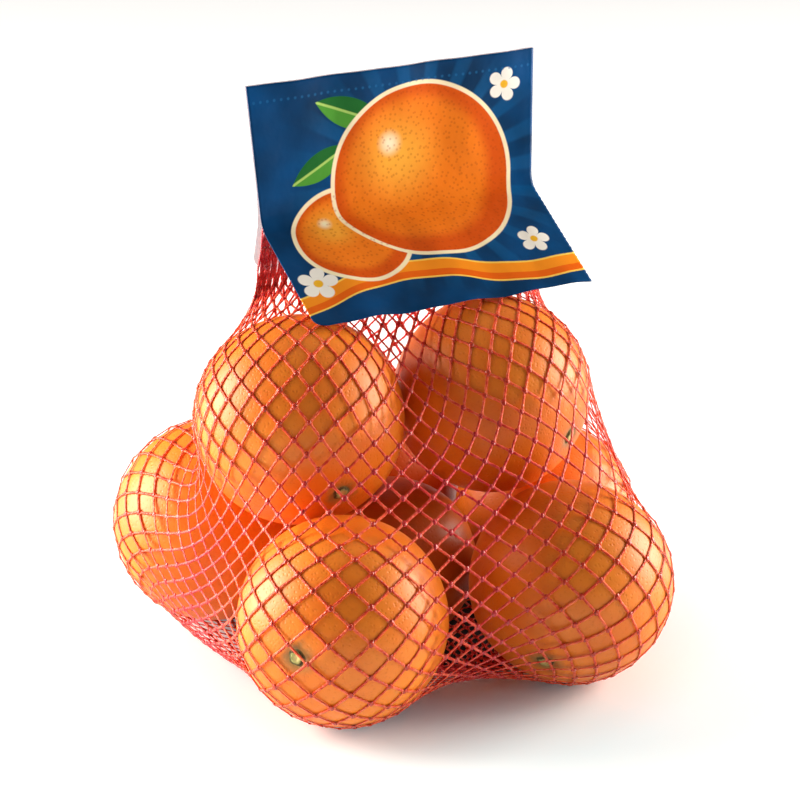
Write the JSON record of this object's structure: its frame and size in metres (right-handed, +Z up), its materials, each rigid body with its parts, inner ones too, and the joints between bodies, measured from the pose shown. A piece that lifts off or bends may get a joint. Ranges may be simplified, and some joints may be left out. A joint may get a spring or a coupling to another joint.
{
  "type": "net bag of oranges",
  "caption": "Oranges in a red knitted net bag, gathered flat under a folded printed film label that leans over the fruit.",
  "frame": {"origin": "bottom centre of the pack's bounding box, on the surface that it rests on", "axes": "+Z up, -Y towards the front with the label's flap, +X to the right as seen from the front"},
  "size_m": [0.2273, 0.2296, 0.2293],
  "materials": {
    "peel": "waxy, finely dimpled peel",
    "stem_end": "dry, matte",
    "net": "knitted polyethylene yarn with a satin shine",
    "printed_film": "printed polyethylene film, satin",
    "clear_film": "milky clear film"
  },
  "bodies": {
    "root": {"filled_net": "net", "label": "printed_film", "back_film": "clear_film", "bottom_band": "printed_film"}
  },
  "joints": []
}
